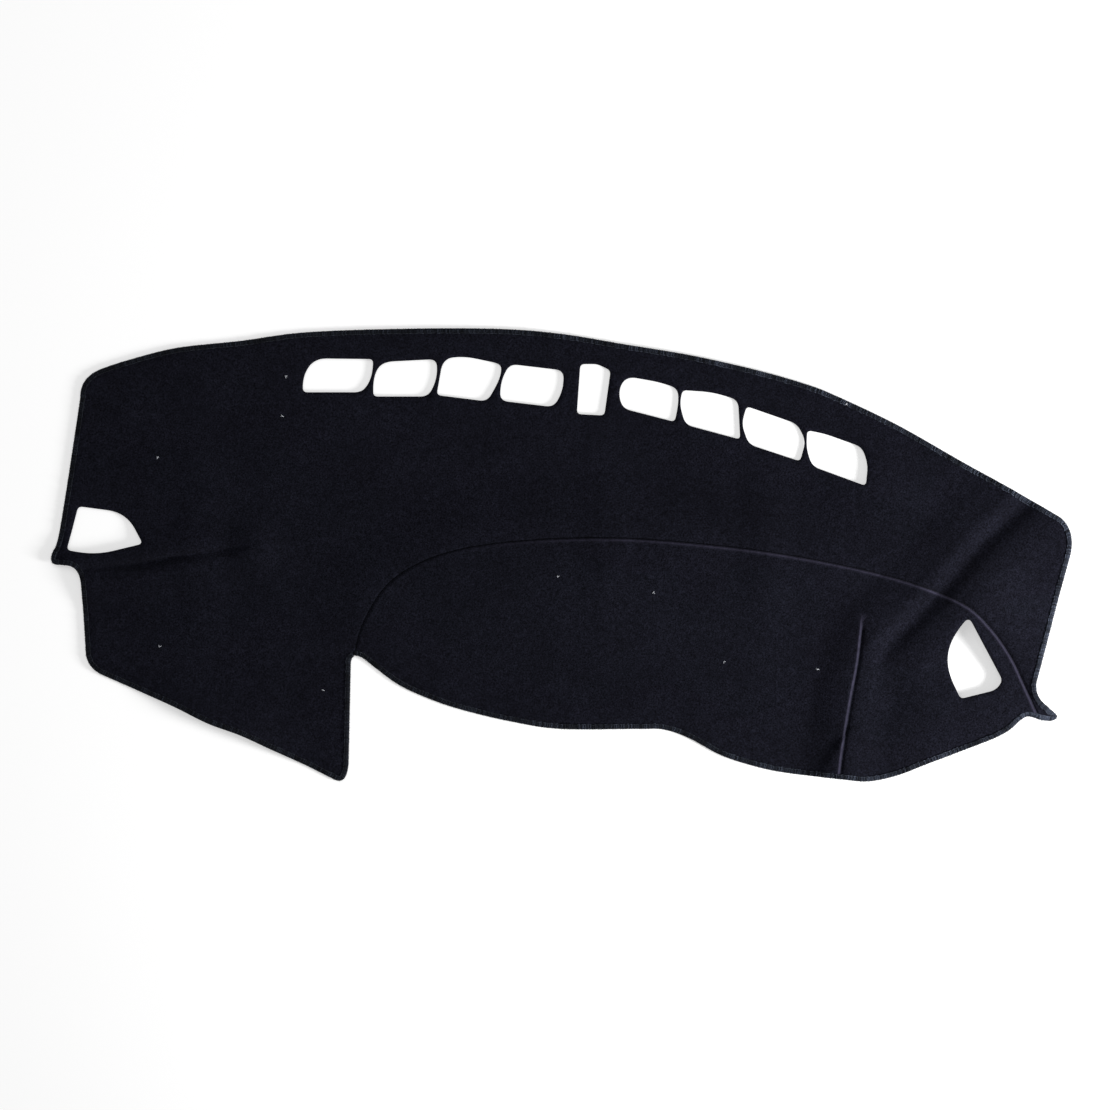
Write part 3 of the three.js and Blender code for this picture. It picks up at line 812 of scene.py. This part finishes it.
def places_object(name, spots, heights, along, inward):
    """An object of bare points that say where things go and how they are turned."""
    mesh = bpy.data.meshes.new(name)
    mesh.from_pydata(to_frame(spots, heights).tolist(), [], [])
    for label, values in (("along", along), ("inward", inward)):
        store = mesh.attributes.new(label, "FLOAT_VECTOR", "POINT")
        store.data.foreach_set("vector", np.asarray(values, float).ravel())
    return placed(name, mesh)


# %% [markdown]
# ## Felt and thread
#
# Black felt isn't black: its nap catches the light in specks and soft patches, so the colour is a dark
# bluish grey with noise of three sizes, and a highlight is painted on the turned edge of the hood's seams.
# The thread is a little lighter, each stitch has a tone of its own, and light is painted on it, paler
# towards the right end where the lamp is. The noise is laid out in object space, in metres, so that it stays
# put on the cloth.

# %% Tools for materials
def colour(red, green, blue):
    """A colour as a screen shows it, from 0 to 255, for a shader."""
    shares = [v / 255 for v in (red, green, blue)]
    return [((v + 0.055) / 1.055) ** 2.4 if v * 255 > 10 else v / 12.92 for v in shares] + [1]


def material(name, roughness):
    """A material without shine, its tree and its shader."""
    made = bpy.data.materials.new(name)
    made.use_nodes = True
    shader = made.node_tree.nodes["Principled BSDF"]
    shader.inputs["Roughness"].default_value = roughness
    shader.inputs["Specular IOR Level"].default_value = 0.04
    return made, made.node_tree, shader


def noise(tree, scale, detail=2, roughness=0.6):
    """Noise in object space, from 0 to 1."""
    where = node(tree, "ShaderNodeTexCoord")
    made = node(tree, "ShaderNodeTexNoise")
    made.inputs["Scale"].default_value = scale
    made.inputs["Detail"].default_value = detail
    made.inputs["Roughness"].default_value = roughness
    tree.links.new(where.outputs["Object"], made.inputs["Vector"])
    return made.outputs["Fac"]


def spread(tree, source, low, high, to_low, to_high):
    """The source's range from low to high stretched to another range."""
    made = node(tree, "ShaderNodeMapRange", clamp=True)
    for key, value in (("From Min", low), ("From Max", high), ("To Min", to_low), ("To Max", to_high)):
        made.inputs[key].default_value = value
    tree.links.new(source, made.inputs["Value"])
    return made.outputs["Result"]


def multiply(tree, a, b):
    """The product of two values."""
    made = node(tree, "ShaderNodeMath", operation="MULTIPLY")
    tree.links.new(a, made.inputs[0])
    tree.links.new(b, made.inputs[1])
    return made.outputs[0]


def mixed(tree, factor, dark, light):
    """A colour between dark, which may come from a node, and light."""
    made = node(tree, "ShaderNodeMix", data_type="RGBA")
    if isinstance(dark, bpy.types.NodeSocket):
        tree.links.new(dark, made.inputs["A"])
    else:
        made.inputs["A"].default_value = dark
    made.inputs["B"].default_value = light
    tree.links.new(factor, made.inputs["Factor"])
    return made.outputs["Result"]


def raised(tree, shader, source, height):
    """Fine relief from the source, in metres."""
    made = node(tree, "ShaderNodeBump")
    made.inputs["Strength"].default_value = 1
    made.inputs["Distance"].default_value = height
    tree.links.new(source, made.inputs["Height"])
    tree.links.new(made.outputs["Normal"], shader.inputs["Normal"])


def stored(tree, attribute):
    """The value of an attribute that a mesh carries."""
    return node(tree, "ShaderNodeAttribute", attribute_name=attribute).outputs["Fac"]


# %% Felt, thread and lint
# The third felt colour is a painted highlight for the turned edge of the hood's seams.
NAP_DARK, NAP_LIGHT, PAINTED_HIGHLIGHT = colour(4, 4, 8), colour(40, 41, 54), colour(58, 56, 72)
THREAD_DARK, THREAD_LIGHT = colour(8, 9, 13), colour(88, 95, 112)
LINT_COLOUR = colour(225, 228, 235)

felt, tree, shader = material("black napped felt", 0.95)
nap = spread(tree, noise(tree, 430, 3, 0.7), 0.34, 0.78, 0, 1)
tufts = spread(tree, noise(tree, 110, 2), 0.3, 0.7, 0.55, 1)
patches = spread(tree, noise(tree, 9, 2), 0.35, 0.65, 0.75, 1)
pile = mixed(tree, multiply(tree, multiply(tree, nap, tufts), patches), NAP_DARK, NAP_LIGHT)
# A painted highlight on the turned edge of the hood's seams.
with_painted_highlight = mixed(tree, multiply(tree, stored(tree, "painted_seam_highlight"), tufts), pile, PAINTED_HIGHLIGHT)
tree.links.new(with_painted_highlight, shader.inputs["Base Color"])
raised(tree, shader, noise(tree, 380, 4, 0.7), 0.0009)
shader.inputs["Sheen Weight"].default_value = 0.02
shader.inputs["Sheen Roughness"].default_value = 0.5

thread, tree, shader = material("overlock thread", 0.8)
worn = spread(tree, noise(tree, 25, 3), 0.35, 0.65, 0.35, 1)
# Painted light: the thread gets paler towards the right end, where the lamp is.
where = node(tree, "ShaderNodeTexCoord")
split = node(tree, "ShaderNodeSeparateXYZ")
tree.links.new(where.outputs["Object"], split.inputs[0])
painted_light_to_the_right = spread(tree, split.outputs["X"], -0.3, 0.7, 0.3, 1)
how_pale = multiply(tree, multiply(tree, stored(tree, "tone"), worn), painted_light_to_the_right)
tree.links.new(mixed(tree, how_pale, THREAD_DARK, THREAD_LIGHT), shader.inputs["Base Color"])
shader.inputs["Sheen Weight"].default_value = 0.05

fluff, tree, shader = material("pale lint", 0.9)
shader.inputs["Base Color"].default_value = LINT_COLOUR
print("materials:", felt.name, "and", thread.name, "and", fluff.name)

# %% The overlocked edges
STITCH_STEP = 2.2
PALE_TAIL = 26
BASE_SECTION = [(BAND, 0.5), (BAND, 3.4), (BAND - 0.8, 3.75), (3.5, 3.6), (1.3, 3.0), (0.45, 2.0),
                (0.9, 0.9), (2.6, 0.35), (BAND - 1, 0.25)]


def overlock(name, edge, seed):
    """The thread round one free edge, from one end of the long seam to the other."""
    line = even(edge, EDGE_STEP)
    into = leftwards(line)
    rings = [(line + into * inwards, up) for inwards, up in BASE_SECTION]
    piece = swept(name, np.stack([to_frame(ring, lift(ring) + up) for ring, up in rings], axis=1))
    near_tail = bell(np.linalg.norm(line - tail_end, axis=1), PALE_TAIL)
    base_tone = piece.data.attributes.new("tone", "FLOAT", "POINT")
    base_tone.data.foreach_set("value", np.repeat(0.2 + 0.8 * near_tail, len(BASE_SECTION)))

    line = even(edge, STITCH_STEP)[1:-1]
    into = leftwards(line)
    here, further = lift(line), lift(line + into * (BAND - 1))
    along = np.column_stack([np.gradient(line, axis=0), np.gradient(here)])
    inward = np.column_stack([into * (BAND - 1), further - here])
    places = places_object(name + "_places", line, here, along, inward)
    return set_along(piece, places, {"Stitch": stitch, "Link": link}, thread, seed, 0.05, 0.12)


main_overlock = overlock("main_overlock_thread", main_edge, 3)
hood_overlock = overlock("hood_overlock_thread", hood_edge, 4)

# %% [markdown]
# ## Allowances
#
# Under each seam and dart hang the two turned-down felt edges, bound together by thread. They are a
# rounded strip that follows the sewing line, as deep as the room over the floor allows.

# %% Bound edges under the sewing lines
LEAST_ROOM = 1.2
HANGS, OFF_THE_FELT, OFF_THE_FLOOR = 3.9, 0.35, 0.2
STRIP_SECTION = [(3.4, 0.85), (2.6, 1.0), (-2.6, 1.0), (-3.4, 0.85), (-3.5, 0.3), (-2.4, 0.0), (2.4, 0.0),
                 (3.5, 0.3)]


def allowance(name, line):
    """A strip close under the felt along a sewing line, wherever there is room for it."""
    line = even(line, EDGE_STEP)
    line = line[lift(line) > LEAST_ROOM]
    side = leftwards(line)
    above = lift(line)
    low = np.maximum(above - HANGS, OFF_THE_FLOOR)
    high = above - OFF_THE_FELT
    rings = [to_frame(line + side * across, low + (high - low) * share) for across, share in STRIP_SECTION]
    return swept(name, np.stack(rings, axis=1))


hood_seam_strip = allowance("hood_seam_bound_edge", hood_seam)
hood_dart_strip = allowance("hood_dart_bound_edge", hood_dart)
left_dart_strip = allowance("left_dart_bound_edge", left_dart)
print("bound edges:", hood_seam_strip.name, "and", hood_dart_strip.name, "and", left_dart_strip.name)

# %% [markdown]
# ## Lint
#
# Felt picks up pale fibres. A few lie on the mat where the photo shows them, each as a small tangle.

# %% Lint on the pile
LINT = [L(151, 461), L(328, 519), L(333, 575), L(154, 192), L(386, 130), L(719, 291), L(855, 269),
        L(956, 170), L(1087, 160), L(1129, 536)]
FIBRES, SCATTER, OFF_THE_PILE = 3, 0.7, 0.25
spots = np.repeat(np.array(LINT, float), FIBRES, axis=0) + rng.normal(0, SCATTER, (FIBRES * len(LINT), 2))
turns = rng.uniform(0, 2 * math.pi, len(spots))
flat_turn = np.column_stack([np.cos(turns), np.sin(turns), np.zeros(len(spots))])
side_turn = np.column_stack([-np.sin(turns), np.cos(turns), np.zeros(len(spots))])
lint_places = places_object("lint_places", spots, upper_side(spots) + OFF_THE_PILE, flat_turn, side_turn)
lint = placed("lint", bpy.data.meshes.new("lint"))
set_along(lint, lint_places, {"Fibre": fibre}, fluff, 5, 0.35, 0.4)

helpers = [thing for thing in bpy.context.scene.objects
           if thing.name.startswith("one ") or thing.name.endswith("_places")]
for helper in helpers:
    bpy.data.objects.remove(helper)

# %% [markdown]
# ## What each piece is
#
# Each piece is hung on the one rigid body, and the solids of the model that it stands for are hidden.

# %% Pieces on the frame
for piece in (main_panel, hood_panel):
    piece.data.materials.append(felt)
for piece in (hood_seam_strip, hood_dart_strip, left_dart_strip):
    piece.data.materials.append(thread)
for piece, stands_for, slot in (
        (main_panel, "main_panel", "felt"), (hood_panel, "hood_panel", "felt"),
        (main_overlock, "main_edge_overlock", "edge_thread"),
        (hood_overlock, "hood_edge_overlock", "edge_thread")):
    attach(piece, "root")
    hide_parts(stands_for)
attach(lint, "root")
for piece, stands_for in (
        (hood_seam_strip, "hood_seam_allowance"), (hood_dart_strip, "hood_dart_allowance"),
        (left_dart_strip, "left_dart_allowance")):
    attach(piece, "root")
    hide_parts(stands_for)

# %% [markdown]
# ## Floor, light and camera
#
# The mat lies on a pale floor in soft light. A lamp low on the right brings out the relief of the folds.
# The camera looks straight down from far away, so that nothing leans outwards at the edges.

# %% Floor and world
FLOOR_HALF, FLOOR_DROP = 6, 0.0005
floor_mesh = bpy.data.meshes.new("floor")
floor_corners = [(x * FLOOR_HALF, y * FLOOR_HALF, -FLOOR_DROP)
                 for x, y in ((-1, -1), (1, -1), (1, 1), (-1, 1))]
floor_mesh.from_pydata(floor_corners, [], [(0, 1, 2, 3)])
floor = placed("floor", floor_mesh)
plain, tree, shader = material("pale floor", 0.9)
shader.inputs["Base Color"].default_value = (0.75, 0.75, 0.75, 1)
shader.inputs["Emission Color"].default_value = (1, 1, 1, 1)
shader.inputs["Emission Strength"].default_value = 0.5
floor.data.materials.append(plain)

world = bpy.data.worlds.new("white studio")
bpy.context.scene.world = world
world.use_nodes = True
tree = world.node_tree
tree.nodes.clear()
rays = node(tree, "ShaderNodeLightPath")
direct = node(tree, "ShaderNodeMath", operation="MAXIMUM")
bright = node(tree, "ShaderNodeMath", operation="MAXIMUM")
tree.links.new(rays.outputs["Is Camera Ray"], direct.inputs[0])
tree.links.new(rays.outputs["Is Glossy Ray"], direct.inputs[1])
tree.links.new(direct.outputs[0], bright.inputs[0])
tree.links.new(rays.outputs["Is Transmission Ray"], bright.inputs[1])
strength = spread(tree, bright.outputs[0], 0, 1, 0.22, 1)
sky = node(tree, "ShaderNodeBackground")
sky.inputs["Color"].default_value = (1, 1, 1, 1)
tree.links.new(strength, sky.inputs["Strength"])
surface = node(tree, "ShaderNodeOutputWorld")
tree.links.new(sky.outputs["Background"], surface.inputs["Surface"])
print("floor and world:", floor.name, "and", world.name)


# %% Lamps and camera
def lamp(name, power, size, place, target=(0, 0, 0)):
    """A square softbox at the place, facing the target."""
    light = bpy.data.lights.new(name, "AREA")
    light.energy = power
    light.size = size
    made = placed(name, light)
    made.location = place
    made.rotation_euler = (Vector(target) - Vector(place)).to_track_quat("-Z", "Y").to_euler()


lamp("key low on the right", 105, 0.7, (2.3, -0.8, 0.88), (0.3, 0, 0))
lamp("fill from behind", 24, 2.5, (-0.8, 1.6, 3.0))

camera_data = bpy.data.cameras.new("camera")
camera_data.lens = 137
camera_data.sensor_width = 36
camera_data.clip_end = 100
camera = placed("camera", camera_data)
camera.location = (-0.0090, -0.0002, 6)
bpy.context.scene.camera = camera
bpy.context.scene.view_settings.view_transform = "Standard"
print("the camera stands", camera.location.z, "metres over the floor")
